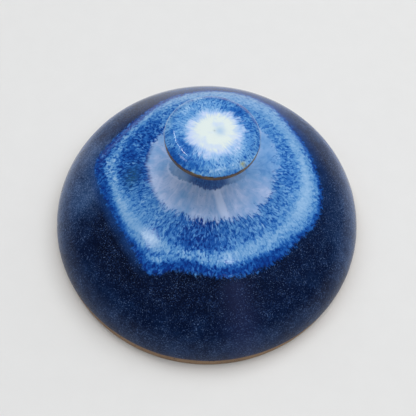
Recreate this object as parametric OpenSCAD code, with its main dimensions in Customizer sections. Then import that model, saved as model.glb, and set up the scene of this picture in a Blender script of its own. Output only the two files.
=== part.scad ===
// Domed stoneware lid of a yarn bowl, with a thrown mushroom knob.
// Millimetres. The origin is the centre of the rim's resting face, +Z points up through the knob.
// The clay was joined wet from three pieces, and the glazes lie on it as thin coats.

/* [Dome] */
// Outside diameter of the bare rim, where it meets the table
rim_d = 140; // [130:1:150]
// Thickness of the dome's clay
wall = 5; // [4:0.5:6]
// Radius of the rounded shoulder, from the rim to the crown
shoulder_r = 26; // [22:1:30]
// Height of the widest place above the table
widest_z = 5.4; // [4:0.1:7]
// Spherical radius of the crown
crown_r = 95; // [88:1:105]
// Radius that rounds the two corners of the rim
rim_round = 1.1; // [0.8:0.1:1.4]

/* [Knob] */
// Diameter of the knob's narrow waist
waist_d = 20; // [18:1:22]
// Diameter of the knob's stem, where it stands on the dome
stem_d = 23; // [22.5:0.5:25]
// Diameter of the trimmed flat seat on top of the crown
seat_d = 26; // [25.5:0.5:30]
// Radius of the cove between the crown and the waist
lower_cove_r = 16; // [14:1:18]
// Radius of the cove between the waist and the knob's edge
upper_cove_r = 20; // [17:1:22]
// Diameter of the knob's sharp edge
knob_d = 39; // [37:0.5:40]
// Height of the upright face round the knob's edge
knob_edge_h = 1.9; // [1:0.1:2.5]
// Radius of the rounded shoulder on top of the knob
knob_shoulder_r = 8; // [7:0.5:9]
// Spherical radius of the middle of the knob's top
knob_top_r = 60; // [56:1:80]

/* [Glaze] */
// Height of the line where the outer glaze stops above the bare rim
glaze_line_z = 7.5; // [7:0.5:12]
// Thickness of the navy base glaze
base_t = 0.5; // [0.4:0.05:0.7]
// Thickness of the light blue glaze poured over the crown
crown_t = 0.4; // [0.3:0.05:0.6]
// Thickness of the glaze on the knob's head
knob_t = 0.45; // [0.35:0.05:0.6]
// Thickness of the white glaze pooled on the knob
white_t = 0.25; // [0.2:0.05:0.4]
// Thickness of the clear liner glaze
liner_t = 0.4; // [0.3:0.05:0.6]
// Height of the line where the liner glaze stops above the rim
liner_line_z = 3; // [2:0.5:6]

/* [Hidden] */
$fn = 96;

// Reach of the poured glaze from the axis, every 15 degrees round from +X.
pour_reach = [50.5, 50.5, 51.5, 53, 57.5, 58.5, 57.5, 55, 51.5, 50, 51.5, 52,
              48, 43, 42.5, 44.5, 47.5, 43, 42.5, 43.5, 45, 46, 47, 49.5];
// Reach of the white pool from its own middle, every 45 degrees round from +X.
white_reach = [11.5, 12, 10, 10, 11, 10.5, 11, 10.5];
// Middle of the white pool, a little off the knob's axis
white_middle = [1.6, 0.4];

steps = 12;            // segments in each arc of the turned outline
pour_steps = 3;        // points on the pour's edge for each number in pour_reach
pour_ripple = 0.6;     // depth of the small runs along the pour's edge
pour_runs = 17;        // how many small runs there are
white_steps = 9;       // points on the pool's edge for each number in white_reach
scallop = 0.5;         // depth of the scallops round the white pool
scallops = 14;         // how many scallops there are
bead = 0.6;            // height over which the navy coat's lower edge rounds off
corner_top = -10;      // angle at which the rim's rounded corner gives way to its side

waist_r = waist_d / 2;
stem_r = stem_d / 2;
seat_r = seat_d / 2;
knob_r = knob_d / 2;

// The shoulder's centre, and the crown's centre, where the two arcs meet smoothly.
shoulder_x = rim_d / 2 - sqrt(pow(shoulder_r, 2) - pow(widest_z, 2));
crown_z = widest_z - sqrt(pow(crown_r - shoulder_r, 2) - pow(shoulder_x, 2));
shoulder_end = atan2(widest_z - crown_z, shoulder_x);

// The waist's height, from a lower cove that touches both the crown and the waist.
waist_z = crown_z + sqrt(pow(crown_r + lower_cove_r, 2) - pow(waist_r + lower_cove_r, 2));
crown_end = atan2(waist_z - crown_z, waist_r + lower_cove_r);
stem_angle = acos((waist_r + lower_cove_r - stem_r) / lower_cove_r);

// The seat that the knob stands on, cut flat across the crown.
seat_angle = acos(seat_r / crown_r);
seat_z = crown_z + crown_r * sin(seat_angle);

// The knob's head: underside lip, upright edge, rounded shoulder and low dome.
lip_inset = 1.4;        // how far the lip under the head is set in from the edge
lip_r = knob_r - lip_inset;
lip_angle = acos((waist_r + upper_cove_r - lip_r) / upper_cove_r);
lip_z = waist_z + upper_cove_r * sin(lip_angle);
edge_top_z = lip_z + knob_edge_h;
head_slope = 14.5;     // slope where the low dome turns into the rounded shoulder
edge_slope = asin(knob_r / knob_shoulder_r - (knob_top_r / knob_shoulder_r - 1) * sin(head_slope));
head_shoulder_x = (knob_top_r - knob_shoulder_r) * sin(head_slope);
head_shoulder_z = edge_top_z - knob_shoulder_r * cos(edge_slope);
head_dome_z = head_shoulder_z - (knob_top_r - knob_shoulder_r) * cos(head_slope);

function arc(centre, r, from, to) =
    [for (i = [0:steps]) let (a = from + (to - from) * i / steps) centre + r * [cos(a), sin(a)]];
function reversed(points) = [for (i = [len(points) - 1:-1:0]) points[i]];

// Angle round the shoulder at a height.
function shoulder_angle(z, r) = asin((z - widest_z) / r);

// The stretches of the turned outline, each set a distance t out from the clay.
function rim_side(t, from_z, to_z) =
    arc([shoulder_x, widest_z], shoulder_r + t, shoulder_angle(from_z, shoulder_r), shoulder_angle(to_z, shoulder_r));
function shoulder(t, from_z) =
    arc([shoulder_x, widest_z], shoulder_r + t, shoulder_angle(from_z, shoulder_r), shoulder_end);
function crown(t) = arc([0, crown_z], crown_r + t, shoulder_end, crown_end);
function crown_under_coil() = arc([0, crown_z], crown_r, crown_end, seat_angle);
function coil_cove(t) =
    arc([waist_r + lower_cove_r, waist_z], lower_cove_r - t, 180 + crown_end, 180 + stem_angle);
function stem_cove(t) = arc([waist_r + lower_cove_r, waist_z], lower_cove_r - t, 180 + stem_angle, 180);
function upper_cove(t) = arc([waist_r + upper_cove_r, waist_z], upper_cove_r - t, 180, 180 - lip_angle);
function head_top(t) = concat(
    arc([head_shoulder_x, head_shoulder_z], knob_shoulder_r + t, 90 - edge_slope, 90 - head_slope),
    arc([0, head_dome_z], knob_top_r + t, 90 - head_slope, 90));

// A smooth curve through numbers set out evenly round a circle, read at a place u along the list.
function smooth(p, u) = let (
        n = len(p),
        i = floor(u),
        f = u - i,
        a = p[(i + n - 1) % n],
        b = p[i % n],
        c = p[(i + 1) % n],
        d = p[(i + 2) % n])
    b + 0.5 * f * (c - a + f * (2 * a - 5 * b + 4 * c - d + f * (3 * (b - c) + d - a)));

// The closed outline that such a curve makes round the axis, with n points for each number and a ripple on it.
function ring(p, n, ripple, waves) = [for (i = [0:len(p) * n - 1]) let (a = 360 * i / (len(p) * n))
    (smooth(p, i / n) + ripple * sin(waves * a)) * [cos(a), sin(a)]];

// The thrown dome: rounded rim, curved wall of even thickness, and the flat seat for the knob.
module dome() {
    inner_r = shoulder_r - wall;
    rim_inner = shoulder_x + sqrt(pow(inner_r, 2) - pow(widest_z, 2));
    outer_corner = [rim_d / 2 - rim_round, rim_round];
    inner_corner = [rim_inner + rim_round, rim_round];
    color("#785e4a") rotate_extrude() polygon(concat(
        arc(outer_corner, rim_round, -90, corner_top),
        rim_side(0, 2 * rim_round, glaze_line_z),
        shoulder(0, glaze_line_z),
        crown(0),
        crown_under_coil(),
        [[0, seat_z]],
        reversed(arc([0, crown_z], crown_r - wall, shoulder_end, 90)),
        reversed(arc([shoulder_x, widest_z], inner_r, shoulder_angle(liner_line_z, inner_r), shoulder_end)),
        arc(inner_corner, rim_round, 180, 270)));
}

// The thrown knob: stem, waist, wide head with a sharp edge, and a low domed top.
module knob() {
    color("#806048") rotate_extrude() polygon(concat(
        [[0, seat_z], [stem_r, seat_z]],
        stem_cove(0),
        upper_cove(0),
        [[knob_r, lip_z], [knob_r, edge_top_z]],
        head_top(0)));
}

// The coil of soft clay pressed round the stem, hollowed into a cove by the potter's finger.
module joining_coil() {
    color("#8a6a50") rotate_extrude() polygon(concat(
        crown_under_coil(),
        [[stem_r, seat_z]],
        reversed(coil_cove(0))));
}

// The navy coat, from the glaze line over the crown and up the coves to the knob's lip.
module base_glaze() {
    color("#152540") rotate_extrude() polygon(concat(
        shoulder(base_t, glaze_line_z + bead),
        crown(base_t),
        coil_cove(base_t),
        stem_cove(base_t),
        upper_cove(base_t),
        reversed(upper_cove(0)),
        reversed(stem_cove(0)),
        reversed(coil_cove(0)),
        reversed(crown(0)),
        reversed(shoulder(0, glaze_line_z))));
}

// The light blue coat, poured over the crown: its edge wanders as the glaze ran.
module crown_glaze() {
    top = base_t + crown_t;
    color("#4f8fd0") intersection() {
        rotate_extrude() polygon(concat(
            crown(top),
            coil_cove(top),
            reversed(coil_cove(base_t)),
            reversed(crown(base_t))));
        linear_extrude(height = waist_z) polygon(ring(pour_reach, pour_steps, pour_ripple, pour_runs));
    }
}

// The blue coat on the knob's head: it stops at the sharp edge, where it broke to brown.
module knob_glaze() {
    color("#5b96d8") rotate_extrude() polygon(concat(head_top(knob_t), reversed(head_top(0))));
}

// The opaque white glaze that pooled in the middle of the knob's head.
module knob_white() {
    color("#eef4ee") intersection() {
        rotate_extrude() polygon(concat(head_top(knob_t + white_t), reversed(head_top(knob_t))));
        translate(white_middle) linear_extrude(height = 2 * waist_z)
            polygon(ring(white_reach, white_steps, scallop, scallops));
    }
}

// The clear coat inside the dome, wiped away from the rim.
module liner_glaze() {
    inner_r = shoulder_r - wall;
    color("#a98a6c") rotate_extrude() polygon(concat(
        arc([shoulder_x, widest_z], inner_r, shoulder_angle(liner_line_z, inner_r), shoulder_end),
        arc([0, crown_z], crown_r - wall, shoulder_end, 90),
        reversed(arc([0, crown_z], crown_r - wall - liner_t, shoulder_end, 90)),
        reversed(arc([shoulder_x, widest_z], inner_r - liner_t, shoulder_angle(liner_line_z, inner_r), shoulder_end))));
}

dome();
knob();
joining_coil();
base_glaze();
crown_glaze();
knob_glaze();
knob_white();
liner_glaze();
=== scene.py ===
"""Looks of the domed stoneware lid: turned clay, a navy glaze, a light blue glaze poured over the crown,
and a mushroom knob glazed in streaked blue with a white pool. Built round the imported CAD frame."""
import math
from types import SimpleNamespace

import bpy
import numpy as np
from mathutils import Matrix, Vector


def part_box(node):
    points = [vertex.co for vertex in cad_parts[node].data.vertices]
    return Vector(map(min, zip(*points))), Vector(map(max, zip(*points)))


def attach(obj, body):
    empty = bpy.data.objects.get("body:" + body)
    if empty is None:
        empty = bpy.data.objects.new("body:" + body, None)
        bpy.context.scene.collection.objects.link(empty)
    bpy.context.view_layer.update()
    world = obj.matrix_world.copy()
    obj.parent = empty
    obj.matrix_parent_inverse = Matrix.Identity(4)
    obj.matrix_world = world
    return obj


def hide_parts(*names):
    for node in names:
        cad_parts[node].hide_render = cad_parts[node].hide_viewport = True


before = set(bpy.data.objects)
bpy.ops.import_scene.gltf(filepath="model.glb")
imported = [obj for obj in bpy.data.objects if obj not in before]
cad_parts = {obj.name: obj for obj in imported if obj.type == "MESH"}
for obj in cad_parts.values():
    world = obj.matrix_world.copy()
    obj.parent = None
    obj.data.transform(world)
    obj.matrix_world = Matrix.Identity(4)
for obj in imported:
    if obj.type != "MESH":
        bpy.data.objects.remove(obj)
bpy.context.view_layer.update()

MM = 0.001  # one millimetre in metres: the outline and the glazes are worked out in millimetres

# ---------------------------------------------------------------- the turned outline, as in the CAD

RIM_R = 70.0
WALL = 5.0
SHOULDER_R = 26.0
WIDEST_Z = 5.4
CROWN_R = 95.0
RIM_ROUND = 1.1
CORNER_IN = 0.35  # how far the rim's rounded outer corner stands in from the wall
WAIST_R = 10.0
STEM_R = 11.5
SEAT_R = 13.0
LOWER_COVE_R = 16.0
UPPER_COVE_R = 20.0
KNOB_R = 19.5
EDGE_H = 1.9
EDGE_ROUND = 0.35
LIP_INSET = 1.4
HEAD_SHOULDER_R = 8.0
HEAD_TOP_R = 60.0
HEAD_SLOPE = math.radians(14.5)
BASE_T = 0.5
CROWN_T = 0.4
KNOB_T = 0.45
WHITE_T = 0.25
LINER_T = 0.4
LINER_LINE_Z = 3.0
SUNK = 0.02  # how far a coat's thin edge sinks into the coat under it
LEAN = (0.049, 0.028)  # how far the hand-joined knob leans towards +X and +Y, per millimetre of height
LEAN_FROM = 55.0  # height about which it leans
OUT_OF_ROUND = 0.009  # share of its radius that the dome is flattened by at most
OUT_OF_ROUND_AT = math.radians(145)
DENT = (2.7, -0.4)  # place of the soft dent in the knob's top, from the axis
DENT_DEPTH = 0.5
DENT_WIDTH = 2.4
FLECK = (12.2, -13.2)  # place of the yellow fleck near the knob's edge

INNER_SHOULDER_R = SHOULDER_R - WALL
SHOULDER_X = RIM_R - math.sqrt(SHOULDER_R**2 - WIDEST_Z**2)
CROWN_Z = WIDEST_Z - math.sqrt((CROWN_R - SHOULDER_R) ** 2 - SHOULDER_X**2)
SHOULDER_END = math.atan2(WIDEST_Z - CROWN_Z, SHOULDER_X)
WAIST_Z = CROWN_Z + math.sqrt((CROWN_R + LOWER_COVE_R) ** 2 - (WAIST_R + LOWER_COVE_R) ** 2)
CROWN_END = math.atan2(WAIST_Z - CROWN_Z, WAIST_R + LOWER_COVE_R)
SEAT_ANGLE = math.acos(SEAT_R / CROWN_R)
SEAT_Z = CROWN_Z + CROWN_R * math.sin(SEAT_ANGLE)
LIP_ANGLE = math.acos((WAIST_R + UPPER_COVE_R - (KNOB_R - LIP_INSET)) / UPPER_COVE_R)
LIP_Z = WAIST_Z + UPPER_COVE_R * math.sin(LIP_ANGLE)
EDGE_TOP_Z = LIP_Z + EDGE_H
EDGE_SLOPE = math.asin(KNOB_R / HEAD_SHOULDER_R - (HEAD_TOP_R / HEAD_SHOULDER_R - 1) * math.sin(HEAD_SLOPE))
HEAD_SHOULDER_X = (HEAD_TOP_R - HEAD_SHOULDER_R) * math.sin(HEAD_SLOPE)
HEAD_SHOULDER_Z = EDGE_TOP_Z - HEAD_SHOULDER_R * math.cos(EDGE_SLOPE)
HEAD_DOME_Z = HEAD_SHOULDER_Z - (HEAD_TOP_R - HEAD_SHOULDER_R) * math.cos(HEAD_SLOPE)
QUARTER = math.pi / 2


def arc(centre, radius, start, end, count=160):
    """Points on an arc in the (reach, height) plane, in millimetres."""
    angles = np.linspace(start, end, count)
    return np.stack([centre[0] + radius * np.cos(angles), centre[1] + radius * np.sin(angles)], -1)


class Outline:
    """A turned outline that can be read by the distance along it: reach, height and outward normal."""

    def __init__(self, *stretches):
        points = np.concatenate([np.atleast_2d(np.array(s, float)) for s in stretches])
        steps = np.hypot(*np.diff(points, axis=0).T)
        keep = np.concatenate([[True], steps > 1e-6])
        points = points[keep]
        steps = np.hypot(*np.diff(points, axis=0).T)
        self.points = points
        self.along = np.concatenate([[0.0], np.cumsum(steps)])
        self.length = self.along[-1]
        tangent = np.gradient(points, self.along, axis=0)
        tangent /= np.linalg.norm(tangent, axis=1)[:, None]
        self.normal = np.stack([tangent[:, 1], -tangent[:, 0]], -1)

    def at(self, s):
        """Reach, height, and the normal's two parts, at distances s."""
        columns = (self.points[:, 0], self.points[:, 1], self.normal[:, 0], self.normal[:, 1])
        return [np.interp(s, self.along, c) for c in columns]

    def where_reach(self, reach):
        """Distance along at which the outline has come in to a reach, past its widest place."""
        start = int(np.argmax(self.points[:, 0]))
        stop = start + int(np.argmin(self.points[start:, 0]))
        return np.interp(reach, self.points[start : stop + 1, 0][::-1], self.along[start : stop + 1][::-1])


def shoulder_angle(z, radius=SHOULDER_R):
    """Direction from the shoulder's centre to its surface at height z."""
    return math.asin((z - WIDEST_Z) / radius)


outer = Outline(
    arc((SHOULDER_X, WIDEST_Z), SHOULDER_R, shoulder_angle(RIM_ROUND), SHOULDER_END),
    arc((0, CROWN_Z), CROWN_R, SHOULDER_END, CROWN_END),
    arc((WAIST_R + LOWER_COVE_R, WAIST_Z), LOWER_COVE_R, math.pi + CROWN_END, math.pi),
    arc((WAIST_R + UPPER_COVE_R, WAIST_Z), UPPER_COVE_R, math.pi, math.pi - LIP_ANGLE),
)
head = Outline(
    arc((HEAD_SHOULDER_X, HEAD_SHOULDER_Z), HEAD_SHOULDER_R, QUARTER - EDGE_SLOPE, QUARTER - HEAD_SLOPE),
    arc((0, HEAD_DOME_Z), HEAD_TOP_R, QUARTER - HEAD_SLOPE, QUARTER),
)
inner_start = shoulder_angle(LINER_LINE_Z, INNER_SHOULDER_R)
inner = Outline(
    arc((SHOULDER_X, WIDEST_Z), INNER_SHOULDER_R, inner_start, SHOULDER_END),
    arc((0, CROWN_Z), CROWN_R - WALL, SHOULDER_END, QUARTER),
)

# ---------------------------------------------------------------- how the glazes lie, round the axis

AROUND = 480
angles = np.linspace(0, 2 * math.pi, AROUND, endpoint=False)

# Every 15 degrees round from +X, in millimetres from the axis: the poured glaze's outer edge, the middle
# of its pale halo, and the outer edge of the milky glaze.
POUR_REACH = [51, 50.5, 51, 52.8, 57.5, 58.5, 57.5, 55.8, 52.8, 50.3, 51, 53.3,
              48.5, 44.5, 43, 44, 47.5, 42.5, 42.5, 44.2, 45, 46, 46.8, 50]
HALO_REACH = [43.5, 44, 45, 46.5, 50, 53, 52.5, 50, 47, 45.5, 44.5, 44,
              41, 39.5, 38, 36.8, 36, 35.5, 35.3, 36, 36.4, 37.5, 39.5, 41.8]
MILK_REACH = [29, 31, 34, 36, 37, 37, 36.5, 35.5, 34, 32, 30, 28,
              25.5, 24.5, 24, 22.5, 21, 21, 21.5, 21.5, 22.5, 24.5, 26.5, 28]
# Every 15 degrees, in millimetres: width of the deep blue fringe between the light glaze and the navy,
# width of the halo, and how far below the waist the neck's blue reaches, with its painted shade in front.
FRINGE = [1, 1, 1, 1, 1, 1, 1, 1.5, 2.5, 3.5, 4.5, 5.5,
          4, 3.5, 1.5, 1.5, 3.5, 4, 3.5, 3.5, 4.5, 4, 2, 1.5]
HALO_WIDTH = [4, 3, 3, 4, 6.5, 7, 6, 4.5, 4, 4, 3.5, 3.5,
              3, 3, 3, 3, 2.8, 2.4, 2.4, 2.8, 3, 3.5, 4, 4.5]
NECK_BELOW = [14, 14, 12, 10, 9, 9, 9, 10, 12, 15, 16, 16,
              14, 10.5, 7.8, 5.5, 4.8, 5, 5.4, 6, 5.8, 6.2, 8, 11]
# Every 15 degrees: how dark the streaked band is between the halo and the milky glaze, from 0 to about 1,
# how strong the pale halo is, from 0 to 1, and how pale and grey the milky glaze is drawn, from -1 to 1,
# partly its own tone and partly a painted sheen, paler at the front and left and darker at the right.
DEPTH = [.4, .45, .35, .3, .3, .3, .4, .5, .65, .8, .9, .95,
         .9, .4, .25, .35, .55, 1, 1.1, .65, .5, .5, .45, .4]
HALO = [1, .85, .7, .6, .5, .5, .5, .5, .35, .3, .2, .2,
        .35, .65, .75, .75, .6, .2, .25, .5, .6, .5, .55, .9]
MILK_TONE_AND_SHEEN = [-.3, -.5, -.2, 0, 0, 0, 0, 0, 0, 0, .4, .8,
         1, 1, .6, .3, .4, .7, .8, .6, .6, .8, .7, .2]
# Every 45 degrees: height of the line where the navy glaze stops, reach of the knob's white pool from its
# own middle, and how deep the blue round that pool is, from 0 to 1.
GLAZE_LINE = [6.8, 7.0, 7.5, 7.5, 7.5, 7.6, 7.5, 6.4]
WHITE_REACH = [10.5, 10.5, 9.5, 9.5, 9.8, 10, 10.5, 10]
KNOB_DEPTH = [.55, .9, .4, .25, .4, .85, .25, .3]
WHITE_MIDDLE = (0.5, -0.7)
BELOW_CROWN_R = 60.0  # the navy glaze's line is looked for where the outline is wider than this
POUR_END_R = 11.9  # reach at which the poured glaze ends, up the neck


def smooth_ring(values, at=angles):
    """A smooth closed curve through values set out evenly round the circle."""
    p = np.array(values, float)
    n = len(p)
    u = (np.asarray(at) / (2 * math.pi) * n) % n
    i = np.floor(u).astype(int)
    f = u - i
    a, b, c, d = p[(i - 1) % n], p[i % n], p[(i + 1) % n], p[(i + 2) % n]
    return b + 0.5 * f * (c - a + f * (2 * a - 5 * b + 4 * c - d + f * (3 * (b - c) + d - a)))


def wander(seed, lowest, highest, at=angles):
    """A repeatable uneven line round the circle, from -1 to 1, made of whole waves."""
    source = np.random.RandomState(seed)
    total = np.zeros_like(at)
    for waves in range(lowest, highest + 1):
        total += source.normal() * np.cos(waves * at + source.uniform(0, 2 * math.pi)) / waves**0.5
    return total / np.abs(total).max()


def rise(value, low, high):
    """A smooth step from 0 at low to 1 at high, whichever of them is greater."""
    t = np.clip((value - low) / (high - low), 0, 1)
    return t * t * (3 - 2 * t)


def bell(x, middle, width):
    """1 at the middle, falling away smoothly on both sides."""
    return np.exp(-(((x - middle) / width) ** 2))


def turn_between(a, b):
    """Smallest angle between two directions, in degrees."""
    return np.abs((a - b + 180) % 360 - 180)


def near(degrees, bearing, full, none):
    """1 within a number of degrees of a bearing, falling to 0 at a wider number."""
    return rise(turn_between(degrees, bearing), none, full)


def far(degrees, bearing, none, full):
    """0 within a number of degrees of a bearing, rising to 1 at a wider number."""
    return rise(turn_between(degrees, bearing), none, full)


def about(degrees, bearing, width):
    """A soft lobe round a bearing."""
    return bell(turn_between(degrees, bearing), 0, width)


def distance_from(place, x, y):
    return np.hypot(x - place[0], y - place[1])


def rounded(distance, width):
    """Height of a quarter-round edge, from 0 to 1, at a distance in from where it starts."""
    return np.sqrt(np.clip(1 - np.clip(1 - distance / width, 0, 1) ** 2, 0, 1))


# ---------------------------------------------------------------- mesh helpers


def surface_points(reach, height, turn):
    return np.stack([reach * np.cos(turn), reach * np.sin(turn), height], -1) * MM


def hand_shaped(points):
    """Thrown and joined by hand: the dome is a little out of round at the back left, and from the neck up
    the lid leans a little off its axis."""
    turn = np.arctan2(points[:, 1], points[:, 0])
    squeeze = 1 - OUT_OF_ROUND * (0.5 + 0.5 * np.cos(turn - OUT_OF_ROUND_AT)) ** 2
    points = points * np.stack([squeeze, squeeze, np.ones_like(squeeze)], -1)
    share = rise(points[:, 2] / MM, LEAN_FROM - 5, LEAN_FROM + 7)
    arm = share * (points[:, 2] - LEAN_FROM * MM)
    drop = share * (points[:, 0] * LEAN[0] + points[:, 1] * LEAN[1])
    return points + np.stack([arm * LEAN[0], arm * LEAN[1], -drop], -1)


def offset_rows(outline, s, out):
    """Points at distances s along an outline (rows by AROUND), set a distance out from it."""
    reach, height, normal_r, normal_z = outline.at(s)
    turn = np.broadcast_to(angles, s.shape)
    return surface_points(reach + out * normal_r, height + out * normal_z, turn)


def ring_mesh(name, rows, closed=True, poles=(), sharp=(), fields=None):
    """A mesh of rings (rows by AROUND by 3). closed joins the last ring to the first; poles gives the heights
    in metres of end points below the first ring and above the last. fields are per-ring vertex values."""
    count = rows.shape[0]
    vertices = rows.reshape(-1, 3)
    ring = np.arange(AROUND)
    following = (ring + 1) % AROUND
    pairs = [(i, (i + 1) % count) for i in range(count if closed else count - 1)]
    quads = [
        np.stack([a * AROUND + ring, a * AROUND + following, b * AROUND + following, b * AROUND + ring], -1)
        for a, b in pairs
    ]
    faces = [tuple(q) for q in np.concatenate(quads).tolist()]
    extra = []
    for which, height in zip((0, count - 1), poles):
        tip = len(vertices) + len(extra)
        extra.append((0.0, 0.0, height))
        base = which * AROUND
        fan = [(base + a, base + b, tip) for a, b in zip(ring.tolist(), following.tolist())]
        faces += [tuple(reversed(f)) for f in fan] if which == 0 else fan
    if extra:
        vertices = np.concatenate([vertices, np.array(extra)])
    mesh = bpy.data.meshes.new(name)
    mesh.from_pydata(hand_shaped(vertices).tolist(), [], faces)
    mesh.update(calc_edges=True)
    mesh.shade_smooth()
    if len(sharp):
        ends = np.empty(len(mesh.edges) * 2, np.int32)
        mesh.edges.foreach_get("vertices", ends)
        on = ends.reshape(-1, 2) // AROUND
        flags = (on[:, 0] == on[:, 1]) & np.isin(on[:, 0], list(sharp))
        mesh.attributes.new("sharp_edge", "BOOLEAN", "EDGE").data.foreach_set("value", flags)
    for field, values in (fields or {}).items():
        flat = np.concatenate([values.reshape(-1), np.full(len(extra), values.reshape(-1)[-1])])
        mesh.attributes.new(field, "FLOAT", "POINT").data.foreach_set("value", flat.astype(np.float32))
    return mesh


def add_piece(name, mesh, material, slot_name, *replaced):
    piece = bpy.data.objects.new(name, mesh)
    bpy.context.scene.collection.objects.link(piece)
    mesh.materials.append(material)
    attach(piece, "root")
    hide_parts(*replaced)
    return piece


# ---------------------------------------------------------------- material helpers


def srgb(code):
    """A colour written as #rrggbb, as the linear colour that a shader takes."""
    parts = [int(code[i : i + 2], 16) / 255 for i in (1, 3, 5)]
    linear = [c / 12.92 if c <= 0.04045 else ((c + 0.055) / 1.055) ** 2.4 for c in parts]
    return (*linear, 1.0)


class Graph:
    """A short way to write a material's nodes."""

    def __init__(self, name):
        self.material = bpy.data.materials.new(name)
        self.material.use_nodes = True
        self.tree = self.material.node_tree
        self.tree.nodes.clear()
        self.shader = self.node("ShaderNodeBsdfPrincipled")
        output = self.node("ShaderNodeOutputMaterial")
        self.link(self.shader.outputs["BSDF"], output.inputs["Surface"])

    def node(self, kind, **settings):
        made = self.tree.nodes.new(kind)
        for key, value in settings.items():
            setattr(made, key, value)
        return made

    def link(self, source, target):
        self.tree.links.new(source, target)

    def feed(self, socket, value):
        if isinstance(value, bpy.types.NodeSocket):
            self.link(value, socket)
        else:
            socket.default_value = value

    def place(self):
        return self.node("ShaderNodeTexCoord").outputs["Object"]

    def field(self, name):
        return self.node("ShaderNodeAttribute", attribute_name=name).outputs["Fac"]

    def math(self, operation, a, b=0.0, c=0.0):
        made = self.node("ShaderNodeMath", operation=operation)
        for socket, value in zip(made.inputs, (a, b, c)):
            self.feed(socket, value)
        return made.outputs[0]

    def add(self, *terms):
        total = terms[0]
        for term in terms[1:]:
            total = self.math("ADD", total, term)
        return total

    def times(self, a, b):
        return self.math("MULTIPLY", a, b)

    def swing(self, noise, size):
        """A noise value turned into an offset from -size/2 to size/2."""
        return self.math("MULTIPLY_ADD", noise, size, -size / 2)

    def step(self, value, low, high, to_low=0.0, to_high=1.0):
        """A smooth step between two values."""
        made = self.node("ShaderNodeMapRange", interpolation_type="SMOOTHSTEP")
        for socket, v in zip(made.inputs, (value, low, high, to_low, to_high)):
            self.feed(socket, v)
        return made.outputs[0]

    def noise(self, vector, scale, detail=2.0, roughness=0.5, distortion=0.0):
        made = self.node("ShaderNodeTexNoise")
        self.feed(made.inputs["Vector"], vector)
        self.feed(made.inputs["Scale"], scale)
        self.feed(made.inputs["Detail"], detail)
        self.feed(made.inputs["Roughness"], roughness)
        self.feed(made.inputs["Distortion"], distortion)
        return made.outputs[0]

    def flow(self, across, down):
        """Coordinates that run round the axis and down the slope, for streaks that follow the glaze."""
        split = self.node("ShaderNodeSeparateXYZ")
        self.link(self.place(), split.inputs[0])
        flat = self.node("ShaderNodeCombineXYZ")
        self.link(split.outputs[0], flat.inputs[0])
        self.link(split.outputs[1], flat.inputs[1])
        unit = self.node("ShaderNodeVectorMath", operation="NORMALIZE")
        self.link(flat.outputs[0], unit.inputs[0])
        wide = self.node("ShaderNodeVectorMath", operation="SCALE")
        self.link(unit.outputs[0], wide.inputs[0])
        wide.inputs["Scale"].default_value = across
        lift = self.node("ShaderNodeCombineXYZ")
        self.link(self.times(self.field("along"), down), lift.inputs[2])
        both = self.node("ShaderNodeVectorMath", operation="ADD")
        self.link(wide.outputs[0], both.inputs[0])
        self.link(lift.outputs[0], both.inputs[1])
        return both.outputs[0]

    def ramp(self, value, stops):
        """Colours at positions from 0 to 1."""
        made = self.node("ShaderNodeValToRGB")
        self.feed(made.inputs[0], value)
        elements = made.color_ramp.elements
        while len(elements) < len(stops):
            elements.new(0.5)
        for element, (position, colour) in zip(elements, stops):
            element.position = position
            element.color = srgb(colour)
        return made.outputs[0]

    def mix(self, share, a, b):
        """Colour a at a share of 0, and colour b at 1."""
        made = self.node("ShaderNodeMix", data_type="RGBA")
        self.feed(made.inputs[0], share)
        for socket, value in ((made.inputs[6], a), (made.inputs[7], b)):
            self.feed(socket, srgb(value) if isinstance(value, str) else value)
        return made.outputs[2]

    def bump(self, *layers):
        """Relief from (height value, depth in metres) layers."""
        normal = None
        for height, depth in layers:
            made = self.node("ShaderNodeBump")
            made.inputs["Strength"].default_value = 1.0
            made.inputs["Distance"].default_value = depth
            self.feed(made.inputs["Height"], height)
            if normal is not None:
                self.link(normal, made.inputs["Normal"])
            normal = made.outputs[0]
        self.link(normal, self.shader.inputs["Normal"])


# ---------------------------------------------------------------- materials


def clay_material(name, light, mid, dark):
    """Bare fired stoneware: warm brown, grogged and matt, with fine turning lines."""
    g = Graph(name)
    place = g.place()
    cloud = g.noise(place, 45.0, 4.0, 0.6)
    grain = g.noise(place, 1500.0, 3.0, 0.7)
    grog = g.noise(place, 700.0, 1.0, 0.5)
    split = g.node("ShaderNodeSeparateXYZ")
    g.link(place, split.inputs[0])
    turning = g.node("ShaderNodeCombineXYZ")
    g.link(g.times(split.outputs[2], 1800.0), turning.inputs[2])
    lines = g.noise(turning.outputs[0], 1.0, 2.0, 0.6)
    tone = g.add(g.times(cloud, 0.7), g.swing(grain, 0.5), g.swing(lines, 0.25), 0.15)
    colour = g.ramp(tone, [(0.2, dark), (0.5, mid), (0.8, light)])
    colour = g.mix(g.step(grog, 0.66, 0.72), colour, dark)
    g.link(colour, g.shader.inputs["Base Color"])
    g.link(g.math("MULTIPLY_ADD", grain, 0.2, 0.62), g.shader.inputs["Roughness"])
    g.bump((lines, 0.00004), (grain, 0.00006), (grog, 0.00003))
    return g.material


def blues(g, level):
    """The colours that the light blue glaze runs through, from thin and deep at 0 to thick and pale at 1."""
    stops = [(0.0, "#0a3180"), (0.18, "#114a9c"), (0.36, "#2767b6"), (0.54, "#5590cc"),
             (0.72, "#7dabd9"), (0.88, "#9cc0e4"), (1.0, "#b8d2ec")]
    return g.ramp(level, stops)


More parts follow.
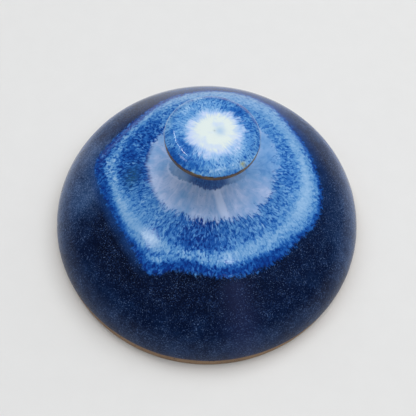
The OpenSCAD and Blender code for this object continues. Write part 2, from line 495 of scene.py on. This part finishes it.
def glaze_noises(g):
    """The noises that the dome's glazes share: strokes that run down the slope, and specks and clouds."""
    place = g.place()
    return SimpleNamespace(
        place=place,
        stroke=g.noise(g.flow(30.0, 0.5), 1.0, 2.0, 0.5, 0.7),
        dash=g.noise(g.flow(36.0, 0.6), 1.0, 1.0, 0.5, 0.5),
        fine=g.noise(g.flow(80.0, 1.0), 1.0, 2.0, 0.6, 0.6),
        run=g.noise(g.flow(13.0, 0.10), 1.0, 2.0, 0.5),
        wisp=g.noise(g.flow(5.5, 0.13), 1.0, 3.0, 0.55, 1.2),
        speck=g.noise(place, 1300.0, 2.0, 0.6),
        grain=g.noise(place, 2100.0, 1.0, 0.5),
        patch=g.noise(place, 210.0, 2.0, 0.5),
        cloud=g.noise(place, 62.0, 3.0, 0.55),
    )


def navy_ground(g, n):
    """Navy with fine paler specks, lighter towards the rim: partly the glaze's own tone and partly a painted
    sheen, with a painted sheen over the rim at the back, a painted reflection in front, and blue bled out of
    the poured glaze."""
    # paler towards the rim: partly the glaze's own tone, partly a painted sheen where the gloss would catch
    # the floor
    paler_rim_and_sheen = g.field("paler_rim_and_sheen")
    depth = g.math("MULTIPLY_ADD", g.field("deep"), -0.10, 0.25)
    tone = g.add(g.times(n.cloud, 0.38), g.swing(n.patch, 0.2), g.times(paler_rim_and_sheen, 0.34), depth)
    stops = [(0.25, "#020920"), (0.45, "#051433"), (0.65, "#10294f"), (0.85, "#2e4c78"), (1.0, "#4c6694")]
    ground = g.ramp(tone, stops)
    crowd = g.add(g.swing(n.run, 0.14), g.swing(n.patch, 0.10), g.times(paler_rim_and_sheen, 0.07))
    paler = g.mix(paler_rim_and_sheen, "#2c4a80", "#7088b4")
    ground = g.mix(g.times(g.step(g.add(n.speck, crowd), 0.5, 0.8), 0.45), ground, paler)
    ground = g.mix(g.times(g.step(g.add(n.grain, crowd), 0.62, 0.76), 0.5), ground, "#6884b2")
    # painted reflection: a faint grey-lilac patch in front, below the neck
    ground = g.mix(g.times(g.field("painted_reflection"), 0.22), ground, "#3c4470")
    mottled = g.add(n.speck, g.swing(n.patch, 0.5), g.swing(n.cloud, 0.4))
    # painted sheen: a mottled pale blue haze over the rim and shoulder at the back
    painted_sheen_share = g.times(g.field("painted_sheen"), g.step(mottled, 0.35, 0.65, 0.45, 1.05))
    ground = g.mix(painted_sheen_share, ground, "#7890c6")
    bled = g.times(g.field("bleed"), g.step(n.patch, 0.3, 0.6, 0.6, 1.0))
    return g.mix(bled, ground, "#1b4688")


def poured_blue(g, n):
    """Mottled strokes that run down the slope: how blue they are follows how thick the glaze lies."""
    dashes = g.step(g.add(n.dash, g.swing(n.patch, 0.3), g.swing(n.fine, 0.1)), 0.50, 0.62)
    strokes = g.add(g.swing(n.stroke, 1.0), g.swing(n.fine, 0.4), g.swing(n.patch, 0.8))
    mottle = g.add(strokes, g.times(dashes, -0.34), 0.10)
    broken = g.times(g.field("broken"), g.field("strong"))
    light = blues(g, g.add(g.field("level"), g.times(mottle, broken)))
    between = g.step(g.add(n.stroke, g.swing(n.fine, 0.5)), 0.4, 0.6, 1.0, 0.4)
    light = g.mix(g.times(g.field("blotch"), between), light, "#24506e")
    # painted highlight: a pale soft spot on the halo at the front left
    painted_highlight_share = g.times(g.field("painted_highlight"), g.step(n.speck, 0.2, 0.6, 0.6, 1.0))
    return g.mix(painted_highlight_share, light, "#cfdff0")


def milky_blue(g, n):
    """The cloudy glaze that slid down from the knob, with thin blue strokes, specks and paler runs. Its tone
    also carries a painted sheen, and the pale run in front of the neck is a painted highlight.
    """
    clouds = g.add(g.times(n.cloud, 0.6), g.times(n.patch, 0.2), g.times(n.wisp, 0.2))
    # the milky tone includes a painted sheen, paler at the front and left
    tone = g.add(clouds, g.times(g.field("milky"), 0.12), g.swing(n.wisp, 0.3), g.swing(n.stroke, 0.1))
    milk = g.ramp(tone, [(0.34, "#568ecb"), (0.45, "#74a2d6"), (0.56, "#8eaedc"), (0.7, "#aec2e8")])
    strokes = g.step(g.add(n.stroke, g.swing(n.speck, 0.5)), 0.60, 0.78)
    milk = g.mix(g.times(strokes, 0.5), milk, "#5a92cc")
    specks = g.step(g.add(n.speck, g.swing(n.patch, 0.2)), 0.66, 0.76)
    milk = g.mix(g.times(specks, 0.6), milk, "#2f66ac")
    # pale runs; the one in front of the neck is a painted highlight
    return g.mix(g.field("run"), milk, "#bccff2")


def neck_blue(g, n):
    """The neck's blue, drawn as lit and shaded copies: deep and streaked in front, partly thin glaze and
    partly the knob's painted shade, and paler round the back, where it is painted lit.
    """
    streaks = g.add(n.stroke, g.swing(n.speck, 0.3))
    deep = g.ramp(streaks, [(0.3, "#0d3878"), (0.55, "#2459a0"), (0.75, "#4f84ba")])
    pale = g.ramp(g.add(n.patch, g.swing(n.speck, 0.3)), [(0.3, "#5486be"), (0.7, "#7ea2d0")])
    # painted shade: the front drawn darker as under the knob, the back paler as where light falls
    return g.mix(g.field("shade"), pale, deep)


def reactive_glaze(name):
    """The outside of the dome: navy under a poured light blue, milky round the neck. Both coats use it,
    so that the colours run from one into the other as they do in the kiln."""
    g = Graph(name)
    n = glaze_noises(g)
    drips = g.add(g.swing(n.stroke, 8.0), g.swing(n.run, 6.0), g.swing(n.patch, 5.0))
    milk_in = g.step(g.add(g.field("milk"), g.times(g.field("ragged"), drips)), -1.4, 1.6)
    light = g.mix(milk_in, poured_blue(g, n), milky_blue(g, n))
    jag = g.add(g.swing(n.stroke, 5.0), g.swing(n.fine, 3.0), g.swing(n.speck, 2.0))
    pour_in = g.step(g.add(g.field("pour"), jag), -1.2, 1.0)
    colour = g.mix(pour_in, navy_ground(g, n), light)
    neck_in = g.step(g.add(g.field("neck"), g.swing(n.run, 4.0), g.swing(n.stroke, 1.5)), -0.4, 0.6)
    colour = g.mix(neck_in, colour, neck_blue(g, n))
    thin = g.times(g.field("thin"), g.step(n.speck, 0.3, 0.6, 0.6, 1.0))
    colour = g.mix(thin, colour, "#6a4a38")
    g.link(colour, g.shader.inputs["Base Color"])

    satin = g.field("satin")
    blurred = g.add(g.times(milk_in, 0.2), g.times(satin, 0.16))
    g.link(g.add(g.math("MULTIPLY_ADD", n.patch, 0.12, 0.07), blurred), g.shader.inputs["Roughness"])
    g.shader.inputs["IOR"].default_value = 1.48
    g.link(g.math("MULTIPLY_ADD", satin, -0.42, 0.5), g.shader.inputs["Specular IOR Level"])
    peel = g.noise(n.place, 150.0, 1.0, 0.4)
    g.bump((peel, 0.00005), (n.speck, 0.00001), (n.stroke, 0.000012))
    return g.material


def knob_glaze(name):
    """The knob's head: streaked blue round an opaque white pool, thin and dark at the very edge, with a
    painted highlight along the edge at the back.
    """
    g = Graph(name)
    place = g.place()
    stroke = g.noise(g.flow(17.0, 0.6), 1.0, 1.0, 0.5, 0.7)
    fine = g.noise(g.flow(36.0, 0.55), 1.0, 2.0, 0.6, 0.3)
    dash = g.noise(g.flow(24.0, 0.9), 1.0, 1.0, 0.5, 0.5)
    speck = g.noise(place, 1300.0, 2.0, 0.6)
    patch = g.noise(place, 230.0, 2.0, 0.5)
    ray = g.noise(g.flow(12.0, 0.2), 1.0, 2.0, 0.55, 0.3)
    dashes = g.times(g.step(g.add(dash, g.swing(patch, 0.25)), 0.56, 0.66), -0.26)
    strokes = g.add(g.swing(stroke, 0.55), g.swing(fine, 0.4), g.swing(speck, 0.1), g.swing(patch, 0.8))
    blue = blues(g, g.add(g.field("level"), g.add(strokes, dashes)))
    pool_in = g.add(g.field("pool"), g.swing(ray, 5.5), g.swing(fine, 3.0))
    pool_in = g.add(pool_in, g.swing(patch, 3.0), g.swing(speck, 1.0))
    pale = g.mix(g.step(patch, 0.4, 0.6), "#a4c2ea", "#bccdee")
    colour = g.mix(g.step(pool_in, -2.6, 1.0), blue, pale)
    white = g.mix(g.step(patch, 0.50, 0.72), "#d9e4e2", "#c8d8ea")
    colour = g.mix(g.step(pool_in, -0.2, 3.2), colour, white)
    colour = g.mix(g.times(g.field("dent"), 0.8), colour, "#9fbfe0")
    # painted highlight: a pale line along the rolled edge at the back
    colour = g.mix(g.times(g.field("rolled"), 0.7), colour, "#9cc0e2")
    colour = g.mix(g.times(g.field("fleck"), g.step(speck, 0.35, 0.5)), colour, "#a8a858")
    broken = g.step(g.add(g.field("broken"), g.swing(speck, 0.5), g.swing(stroke, 0.5)), 0.5, 0.8)
    brown = g.ramp(patch, [(0.35, "#33241a"), (0.5, "#5f4628"), (0.65, "#77683a")])
    colour = g.mix(broken, colour, brown)
    g.link(colour, g.shader.inputs["Base Color"])
    g.link(g.math("MULTIPLY_ADD", patch, 0.1, 0.06), g.shader.inputs["Roughness"])
    g.shader.inputs["IOR"].default_value = 1.5
    peel = g.noise(place, 220.0, 1.0, 0.4)
    g.bump((peel, 0.00004), (speck, 0.00001), (stroke, 0.00002))
    return g.material


def broken_glaze(name):
    """Thin glaze that has broken to brown over the knob's sharp edge, glossy over the clay."""
    g = Graph(name)
    place = g.place()
    patch = g.noise(place, 170.0, 3.0, 0.6)
    speck = g.noise(place, 1500.0, 2.0, 0.6)
    tone = g.add(patch, g.swing(speck, 0.3))
    colour = g.ramp(tone, [(0.3, "#2c2018"), (0.45, "#624629"), (0.6, "#80683a"), (0.75, "#4e5c60")])
    g.link(colour, g.shader.inputs["Base Color"])
    g.link(g.math("MULTIPLY_ADD", speck, 0.2, 0.2), g.shader.inputs["Roughness"])
    g.bump((patch, 0.00005), (speck, 0.00002))
    return g.material


def liner_material(name):
    """Clear glossy liner over the brown clay: honey and grey, pooled a little in the turning rings."""
    g = Graph(name)
    place = g.place()
    cloud = g.noise(place, 60.0, 4.0, 0.6)
    rings = g.noise(g.flow(1.5, 0.5), 1.0, 3.0, 0.6)
    speck = g.noise(place, 1100.0, 2.0, 0.6)
    tone = g.add(g.times(cloud, 0.5), g.times(rings, 0.5), g.swing(speck, 0.25))
    colour = g.ramp(tone, [(0.3, "#6e5640"), (0.5, "#8d7358"), (0.7, "#a89078")])
    colour = g.mix(g.times(g.step(speck, 0.66, 0.76), 0.8), colour, "#3a2a20")
    g.link(colour, g.shader.inputs["Base Color"])
    g.link(g.math("MULTIPLY_ADD", cloud, 0.15, 0.14), g.shader.inputs["Roughness"])
    g.bump((rings, 0.0001), (cloud, 0.00008), (speck, 0.00002))
    return g.material


def floor_material():
    g = Graph("pale_floor")
    grain = g.noise(g.place(), 90.0, 3.0, 0.6)
    g.link(g.mix(grain, "#dededd", "#e2e2e1"), g.shader.inputs["Base Color"])
    g.shader.inputs["Roughness"].default_value = 0.75
    g.shader.inputs["Specular IOR Level"].default_value = 0.2
    return g.material


# ---------------------------------------------------------------- fields that the glazes read


def outer_start(at):
    """Distance along the outline of the navy glaze's lower line."""
    line = smooth_ring(GLAZE_LINE, at) + 0.25 * wander(3, 6, 40, at)
    low = int(np.argmax(outer.points[:, 0] < BELOW_CROWN_R))
    return np.interp(line, outer.points[:low, 1], outer.along[:low])


def pour_fields(s, reach, degrees):
    """For the poured glaze: how far inside its edge, how thick and pale it lies, its marks, and a painted
    highlight at the front left.
    """
    halo_at = outer.where_reach(smooth_ring(HALO_REACH))
    pour = s - outer.where_reach(smooth_ring(POUR_REACH))
    fringe = smooth_ring(FRINGE)
    outside = 0.12 + 0.36 * rise(pour, fringe - 1.0, fringe + 2.5)
    inside = 0.62 - 0.44 * smooth_ring(DEPTH)
    halo = bell(s, halo_at, smooth_ring(HALO_WIDTH)) * smooth_ring(HALO)
    level = outside + (inside - outside) * rise(s, halo_at, halo_at + 3.5)
    return {
        "pour": pour,
        "level": level + (0.80 - level) * halo,
        "broken": 1.0 - 0.65 * halo,
        "strong": 0.45 + 0.55 * smooth_ring(DEPTH),
        # painted highlight at the front left
        "painted_highlight": 0.25 * about(degrees, 230, 7) * bell(reach, 36.6, 2.2),
        "blotch": 0.85 * about(degrees, 178, 10) * bell(reach, 33.5, 3.6),
    }


def milk_fields(s, reach, degrees):
    """For the milky glaze: how far inside its edge, how pale it is (partly a painted sheen), a painted
    highlight run in front and the pale line round the neck. Then the same for the neck's blue and its painted
    shade in front."""
    neck_at = outer.where_reach(WAIST_R) - smooth_ring(NECK_BELOW)
    aslant = 0.6 * (reach - 13)
    # painted highlight: a pale run in front, below the neck
    painted_highlight_streak = 0.9 * rise(degrees, 281 + aslant, 288 + aslant) * rise(degrees, 299, 296) * rise(reach, 24, 19)
    line = 0.75 * bell(s, neck_at - 0.7, 0.5) * near(degrees, 192, 20, 40)
    return {
        "milk": s - outer.where_reach(smooth_ring(MILK_REACH)),
        "milky": smooth_ring(MILK_TONE_AND_SHEEN),
        "ragged": 1 - 0.7 * near(degrees, 180, 25, 42),
        "run": np.maximum(painted_highlight_streak, line),
        "neck": s - neck_at,
        # painted shade: the neck's front drawn darker, as under the knob
        "shade": near(degrees, 272, 30, 62),
    }


def ground_fields(s, reach, degrees, pour):
    """For the navy glaze: where it is paler (partly painted sheen), deeper, carries a painted sheen at the
    back and a painted reflection in front, is less glossy, or thin at its line.
    """
    edge = rise(s, outer.where_reach(48.0), outer.where_reach(66.0))
    # the rim is drawn paler with a painted sheen, least in front; on the left a painted bluish haze starts
    # further in
    sides = (0.1 + 0.9 * far(degrees, 268, 50, 100)) * (1 - 0.4 * about(degrees, 18, 20))
    left = near(degrees, 170, 14, 32) * rise(reach, 45, 53)
    # painted sheen over the rim and shoulder at the back
    sheen_at_rim = 0.55 * rise(s, outer.where_reach(61.0), outer.where_reach(68.0)) * near(degrees, 86, 60, 90)
    sheen_at_back = 0.6 * rise(s, outer.where_reach(55.0), outer.where_reach(66.0)) * about(degrees, 82, 30)
    bleed_left = 0.6 * rise(pour, -6.0, 0.0) * near(degrees, 200, 20, 45)
    bleed_back = 0.85 * rise(pour, -9.0, 0.0) * about(degrees, 70, 55)
    satin_front = edge * (0.5 * far(degrees, 86, 22, 45) + 0.5 * far(degrees, 86, 60, 110))
    satin_back = 0.85 * rise(reach, 46, 51) * (about(degrees, 143, 22) + about(degrees, 38, 30))
    return {
        "paler_rim_and_sheen": np.maximum(edge * sides, 0.95 * left) + 0.35 * rise(reach, 63.5, 69),
        "deep": near(degrees, 250, 30, 60) * rise(reach, 64, 52),
        # painted reflection in front, below the neck
        "painted_reflection": about(degrees, 286, 7) * rise(reach, 44, 48),
        "painted_sheen": np.maximum(sheen_at_rim, sheen_at_back),
        "bleed": np.maximum(bleed_left, bleed_back),
        "satin": np.maximum(satin_front, satin_back),
        "thin": bell(s, outer_start(angles), 0.9),
    }


def dome_fields(s):
    """Values over the dome's outside, at distances s along the outline (rows by AROUND)."""
    reach = outer.at(s)[0]
    degrees = np.broadcast_to(np.degrees(angles), s.shape)
    fields = {"along": s, **pour_fields(s, reach, degrees), **milk_fields(s, reach, degrees)}
    return {**fields, **ground_fields(s, reach, degrees, fields["pour"])}


def head_fields(s, reach, turn):
    """Values over the top of the knob's head."""
    x, y = reach * np.cos(turn), reach * np.sin(turn)
    round_pool = np.arctan2(y - WHITE_MIDDLE[1], x - WHITE_MIDDLE[0])
    pool = smooth_ring(WHITE_REACH, round_pool) - distance_from(WHITE_MIDDLE, x, y)
    front = near(np.degrees(turn), 270, 70, 110)
    return {
        "along": s,
        "pool": pool,
        "level": 0.72 - 0.45 * smooth_ring(KNOB_DEPTH, turn) + 0.22 * rise(pool, -4.5, 0),
        "dent": bell(distance_from(DENT, x, y), 0, 2.0),
        "broken": bell(s, 0, 0.42 + 0.6 * front) * (0.15 + 0.85 * front),
        # painted highlight along the rolled edge, away from the front
        "rolled": bell(s, 0.5, 0.6) * (1 - front),
        "fleck": 0.8 * bell(distance_from(FLECK, x, y), 0, 1.0),
    }


# ---------------------------------------------------------------- pieces


def spread(start, end, count):
    """Rows of distances from start to end, each with one value per angle."""
    start, end = np.broadcast_to(start, AROUND), np.broadcast_to(end, AROUND)
    share = np.linspace(0, 1, count)[:, None]
    return start + (end - start) * share


def unevenness(s, size, seed):
    """Slow unevenness of a hand-thrown, hand-dipped surface, in millimetres."""
    source = np.random.RandomState(seed)
    total = np.zeros_like(s)
    for _ in range(14):
        waves = source.randint(1, 9)
        slope = source.uniform(-0.12, 0.12)
        total = total + source.normal() * np.cos(waves * angles + slope * s + source.uniform(0, 2 * math.pi))
    return size * total / 8


def back_rows(values, shape, every=4):
    """The rows of a coat's hidden side: its outer rows in reverse, thinned out, without the two ends."""
    return np.broadcast_to(values, shape)[::-every][1:-1]


def coat_mesh(name, outside, inside, fields, every=4, sharp=None):
    """A closed coat of glaze from its outer rows and its fewer hidden rows, with the fields of both."""
    shape = outside.shape[:2]

    def both_sides(values):
        return np.concatenate([np.broadcast_to(values, shape), back_rows(values, shape, every)])

    both = {field: both_sides(values) for field, values in fields.items()}
    sharp = (0, shape[0] - 1) if sharp is None else sharp
    return ring_mesh(name, np.concatenate([outside, inside]), sharp=sharp, fields=both)


def make_dome_clay():
    """The thrown dome: rim, outer wall and inside wall, with faint turning lines."""
    out_s = spread(0.0, outer.where_reach(SEAT_R), 110)
    lines = 0.03 * np.sin(out_s * 2.1 + 0.6 * np.sin(angles)) + unevenness(out_s, 0.05, 5)
    lines = lines * np.clip(out_s / 3, 0, 1)
    outside = offset_rows(outer, out_s, np.minimum(lines, 0.0))
    inside = offset_rows(inner, spread(inner.length - 1.0, 0.0, 70), 0.0)
    foot_end = RIM_R - CORNER_IN - RIM_ROUND
    foot_start = SHOULDER_X + math.sqrt(INNER_SHOULDER_R**2 - WIDEST_Z**2) + RIM_ROUND
    corner = arc((foot_end, RIM_ROUND), RIM_ROUND, -QUARTER, -0.2, 7)
    inner_corner = arc((foot_start, RIM_ROUND), RIM_ROUND, math.pi, 1.5 * math.pi, 7)
    foot = np.stack([np.linspace(foot_start + 0.4, foot_end - 0.4, 6), np.zeros(6)], -1)
    rim = np.concatenate([inner_corner, foot, corner])
    rim_rows = surface_points(rim[:, :1] + 0 * angles, rim[:, 1:] + 0 * angles, angles + 0 * rim[:, :1])
    poles = (inner.points[-1][1] * MM, outside[-1][0][2])
    return ring_mesh("dome_clay", np.concatenate([inside, rim_rows, outside]), closed=False, poles=poles)


def make_liner():
    """The clear coat inside the dome, with soft turning rings."""
    s = spread(0.3 * (1 + wander(8, 3, 24)), inner.length - 0.8, 150)
    rings = 0.10 * np.sin(s * 0.9 + angles) * np.clip((s - 2) / 6, 0, 1) + unevenness(s, 0.05, 9)
    thickness = np.clip(LINER_T * (1 - np.exp(-s / 0.9)) + rings, SUNK, None)
    # The inside outline's normal points into the clay, so the coat hangs on its other side.
    hanging = offset_rows(inner, s[::-1], -thickness[::-1])
    back_s = s[::4]
    fields = {"along": np.concatenate([s[::-1], back_s])}
    rows = np.concatenate([hanging, offset_rows(inner, back_s, 0.0)])
    return ring_mesh("inside_glaze", rows, fields=fields)


def base_height(s):
    """Thickness of the navy coat away from its ends, as the poured coat lies on it."""
    return BASE_T + unevenness(s, 0.05, 2)


def make_navy():
    """The navy coat, from its beaded lower line to the knob's lip."""
    start, end = outer_start(angles), outer.length
    bead = np.array([0.0, 0.12, 0.3, 0.55, 0.9])[:, None]
    s = np.concatenate([start + bead, spread(start, end, 170)[1:]])
    s.sort(axis=0)
    runs = 0.06 * wander(11, 12, 60) * bell(s, start + 2.0, 3.0)
    out = (base_height(s) + runs) * np.minimum(rounded(s - start, 0.9), rounded(end - s, 0.6))
    inside = offset_rows(outer, back_rows(s, s.shape), 0.0)
    return coat_mesh("navy_glaze", offset_rows(outer, s, out), inside, dome_fields(s))


def make_poured():
    """The light blue coat over the crown: a rolled outer edge, thicker in runs, thin at the neck."""
    start = outer.where_reach(smooth_ring(POUR_REACH) + 0.45 * wander(21, 20, 90))
    end = outer.where_reach(POUR_END_R + 0.35 * wander(22, 8, 60))
    share = np.linspace(0, 1, 120)[:, None] ** 1.25
    s = start + (end - start) * share
    from_edge = s - start
    ridge = 0.05 * wander(23, 18, 70) * bell(from_edge, 3.5, 2.0)
    milk_at = outer.where_reach(smooth_ring(MILK_REACH))
    drips = 0.08 * wander(24, 14, 50) * bell(s, milk_at, 3.0)
    thickness = (CROWN_T * rise(from_edge, 0, 7.0) + ridge + drips) * rise(end - s, 0, 2.5) - SUNK
    outside = offset_rows(outer, s, base_height(s) + thickness)
    back_s = back_rows(s, s.shape)
    inside = offset_rows(outer, back_s, base_height(back_s) - 4 * SUNK)
    return coat_mesh("poured_glaze", outside, inside, dome_fields(s))


def make_knob_clay():
    """The thrown knob: stem, waist and head, with a slightly rounded edge where the glaze broke."""
    side = offset_rows(outer, spread(outer.where_reach(STEM_R), outer.length, 60), 0.0)
    edge_x = KNOB_R - EDGE_ROUND
    edge = np.concatenate([
        arc((edge_x, LIP_Z + EDGE_ROUND), EDGE_ROUND, -QUARTER, 0, 6),
        arc((edge_x, EDGE_TOP_Z - EDGE_ROUND), EDGE_ROUND, 0, QUARTER * 0.6, 6),
    ])
    edge_reach = edge[:, :1] + 0.05 * wander(31, 3, 18)
    edge_height = edge[:, 1:] + 0.04 * wander(32, 2, 12)
    edge_rows = surface_points(edge_reach, edge_height, angles + 0 * edge[:, :1])
    top = offset_rows(head, spread(0.3, head.length - 0.8, 40), 0.0)
    foot = surface_points(np.full((1, AROUND), STEM_R), np.full((1, AROUND), SEAT_Z), angles[None])
    rows = np.concatenate([foot, side, edge_rows, top])
    return ring_mesh("knob_clay", rows, closed=False, poles=(SEAT_Z * MM, head.points[-1][1] * MM))


def dent_at(x, y):
    """How far the soft dent near the middle of the head lowers its glaze."""
    return -DENT_DEPTH * bell(distance_from(DENT, x, y), 0, DENT_WIDTH)


def make_knob_blue():
    """The blue coat on the head, with a rolled edge."""
    rows = spread(0.0, head.length - 0.5, 110)
    s = np.concatenate([rows[:1], rows[:1] + 0.08, rows[:1] + 0.2, rows[1:]])
    s.sort(axis=0)
    reach = head.at(s)[0]
    turn = np.broadcast_to(angles, s.shape)
    uneven = unevenness(s, 0.05, 41) * np.clip((head.length - s) / 6, 0, 1)
    thickness = (KNOB_T + uneven + 0.12 * bell(s, 0.9, 0.5)) * rounded(s, 0.5)
    outside = offset_rows(head, s, thickness + dent_at(reach * np.cos(turn), reach * np.sin(turn)))
    back_s = back_rows(s, s.shape)
    inside = offset_rows(head, back_s, -0.6 * bell(back_s, head.length, 6))
    return coat_mesh("knob_blue_glaze", outside, inside, head_fields(s, reach, turn), sharp=(0,))


def make_knob_white():
    """The white pool: rings about its own middle, feathered at a scalloped edge."""
    limit = smooth_ring(WHITE_REACH) + 0.4 * np.sin(14 * angles) + 0.3 * wander(51, 9, 40)
    own = limit * np.linspace(1, 0.02, 60)[:, None]
    x = WHITE_MIDDLE[0] + own * np.cos(angles)
    y = WHITE_MIDDLE[1] + own * np.sin(angles)
    turn = np.arctan2(y, x)
    s = np.interp(-np.hypot(x, y), -head.points[:, 0], head.along)
    reach, height, normal_r, normal_z = head.at(s)

    def lifted(out):
        return surface_points(reach + out * normal_r, height + out * normal_z, turn)

    base = KNOB_T + dent_at(x, y) - SUNK
    top = lifted(base + WHITE_T * rise(limit - own, 0, 4.5))
    under = lifted(base - 0.06)[::-3][1:-1]
    fields = head_fields(s, np.hypot(x, y), turn)
    return coat_mesh("knob_white_glaze", top, under, fields, every=3, sharp=(0,))


stoneware = clay_material("bare_stoneware", "#b09272", "#957657", "#664d38")
coil_clay = clay_material("coil_stoneware", "#9c8064", "#80644a", "#5a4432")
dome_glaze = reactive_glaze("navy_and_poured_glaze")
poured_glaze = reactive_glaze("poured_light_blue_glaze")
head_glaze = knob_glaze("streaked_knob_glaze")
pool_glaze = knob_glaze("white_pool_glaze")

add_piece("dome_clay", make_dome_clay(), stoneware, "stoneware", "dome")
add_piece("inside_glaze", make_liner(), liner_material("clear_liner_glaze"), "liner_glaze", "liner_glaze")
add_piece("navy_glaze", make_navy(), dome_glaze, "navy_glaze", "base_glaze")
add_piece("poured_glaze", make_poured(), poured_glaze, "light_blue_glaze", "crown_glaze")
add_piece("knob_clay", make_knob_clay(), broken_glaze("broken_edge_glaze"), "stoneware_knob", "knob")
add_piece("knob_blue_glaze", make_knob_blue(), head_glaze, "knob_blue_glaze", "knob_glaze")
add_piece("knob_white_glaze", make_knob_white(), pool_glaze, "white_glaze", "knob_white")
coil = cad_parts["joining_coil"]
coil.data.materials.clear()
coil.data.materials.append(coil_clay)

# ---------------------------------------------------------------- stage, light and camera

LID_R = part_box("dome")[1].x
FLOOR_R = 0.85  # metres
CAMERA_PLACE = (0.007, -2.71, 5.51)  # in lid radii from the middle of the lid's base
CAMERA_DOWN = math.radians(62.8)
CAMERA_TILT = math.radians(2.1)
CAMERA_LENS = 77.9  # millimetres, on a 36 mm sensor
scene = bpy.context.scene
scene.view_settings.view_transform = "Standard"


def direction(azimuth, elevation):
    """Unit vector towards a place round the lid, in degrees from +X and above the floor."""
    a, e = math.radians(azimuth), math.radians(elevation)
    return Vector((math.cos(a) * math.cos(e), math.sin(a) * math.cos(e), math.sin(e)))


def make_floor():
    """A round pale table top."""
    turns = np.linspace(0, 2 * math.pi, 128, endpoint=False)
    corners = [(FLOOR_R * math.cos(a), FLOOR_R * math.sin(a), 0) for a in turns]
    mesh = bpy.data.meshes.new("floor")
    mesh.from_pydata(corners, [], [tuple(range(len(corners)))])
    floor = bpy.data.objects.new("floor", mesh)
    mesh.materials.append(floor_material())
    scene.collection.objects.link(floor)


def add_light(name, azimuth, elevation, distance, size, power, in_gloss=True):
    """A square soft light aimed at the lid from a direction round it."""
    lamp = bpy.data.lights.new(name, "AREA")
    lamp.shape = "SQUARE"
    lamp.size = size
    lamp.energy = power
    thing = bpy.data.objects.new(name, lamp)
    way = direction(azimuth, elevation)
    thing.location = way * distance
    thing.rotation_euler = way.to_track_quat("Z", "Y").to_euler()
    thing.visible_glossy = in_gloss
    scene.collection.objects.link(thing)


def add_strip(name, start, end, distance, width, power):
    """A long narrow light from one direction to another, for a line of gloss on the knob."""
    a = direction(*start) * distance
    b = direction(*end) * distance
    lamp = bpy.data.lights.new(name, "AREA")
    lamp.shape = "RECTANGLE"
    lamp.size = (b - a).length
    lamp.size_y = width
    lamp.energy = power
    thing = bpy.data.objects.new(name, lamp)
    along = (b - a).normalized()
    back = ((a + b) / 2).normalized()
    side = back.cross(along)
    thing.visible_camera = False
    thing.matrix_world = Matrix((along, side, along.cross(side))).transposed().to_4x4()
    thing.location = (a + b) / 2
    scene.collection.objects.link(thing)


def make_world():
    """A dim room round the table: pale where the camera sees it directly, dark in the gloss."""
    world = bpy.data.worlds.new("studio")
    world.use_nodes = True
    tree = world.node_tree
    background = tree.nodes["Background"]
    path = tree.nodes.new("ShaderNodeLightPath")
    glossy = tree.nodes.new("ShaderNodeMix")
    glossy.data_type = "RGBA"
    glossy.inputs[6].default_value = (0.17, 0.175, 0.185, 1)
    glossy.inputs[7].default_value = (0.05, 0.052, 0.058, 1)
    tree.links.new(path.outputs["Is Glossy Ray"], glossy.inputs[0])
    seen = tree.nodes.new("ShaderNodeMix")
    seen.data_type = "RGBA"
    seen.inputs[7].default_value = (0.72, 0.72, 0.72, 1)
    tree.links.new(path.outputs["Is Camera Ray"], seen.inputs[0])
    tree.links.new(glossy.outputs[2], seen.inputs[6])
    tree.links.new(seen.outputs[2], background.inputs["Color"])
    scene.world = world


def make_camera():
    """Looks down on the lid from in front, a little tilted."""
    data = bpy.data.cameras.new("camera")
    data.sensor_width = 36.0
    data.lens = CAMERA_LENS
    camera = bpy.data.objects.new("camera", data)
    scene.collection.objects.link(camera)
    camera.matrix_world = (
        Matrix.Translation([part * LID_R for part in CAMERA_PLACE])
        @ Matrix.Rotation(QUARTER - CAMERA_DOWN, 4, "X")
        @ Matrix.Rotation(CAMERA_TILT, 4, "Z")
    )
    scene.camera = camera


make_floor()
make_world()
add_light("overhead_soft", azimuth=20, elevation=83, distance=1.6, size=1.7, power=24, in_gloss=False)
add_light("right_soft", azimuth=30, elevation=50, distance=1.0, size=0.8, power=1.3, in_gloss=False)
add_light("left_lamp", azimuth=194, elevation=56, distance=1.6, size=0.26, power=0.9)
add_light("front_lamp", azimuth=300, elevation=62, distance=1.6, size=0.2, power=0.7)
add_strip("back_strip", start=(133, 45), end=(156, 72), distance=1.4, width=0.04, power=1.5)
make_camera()
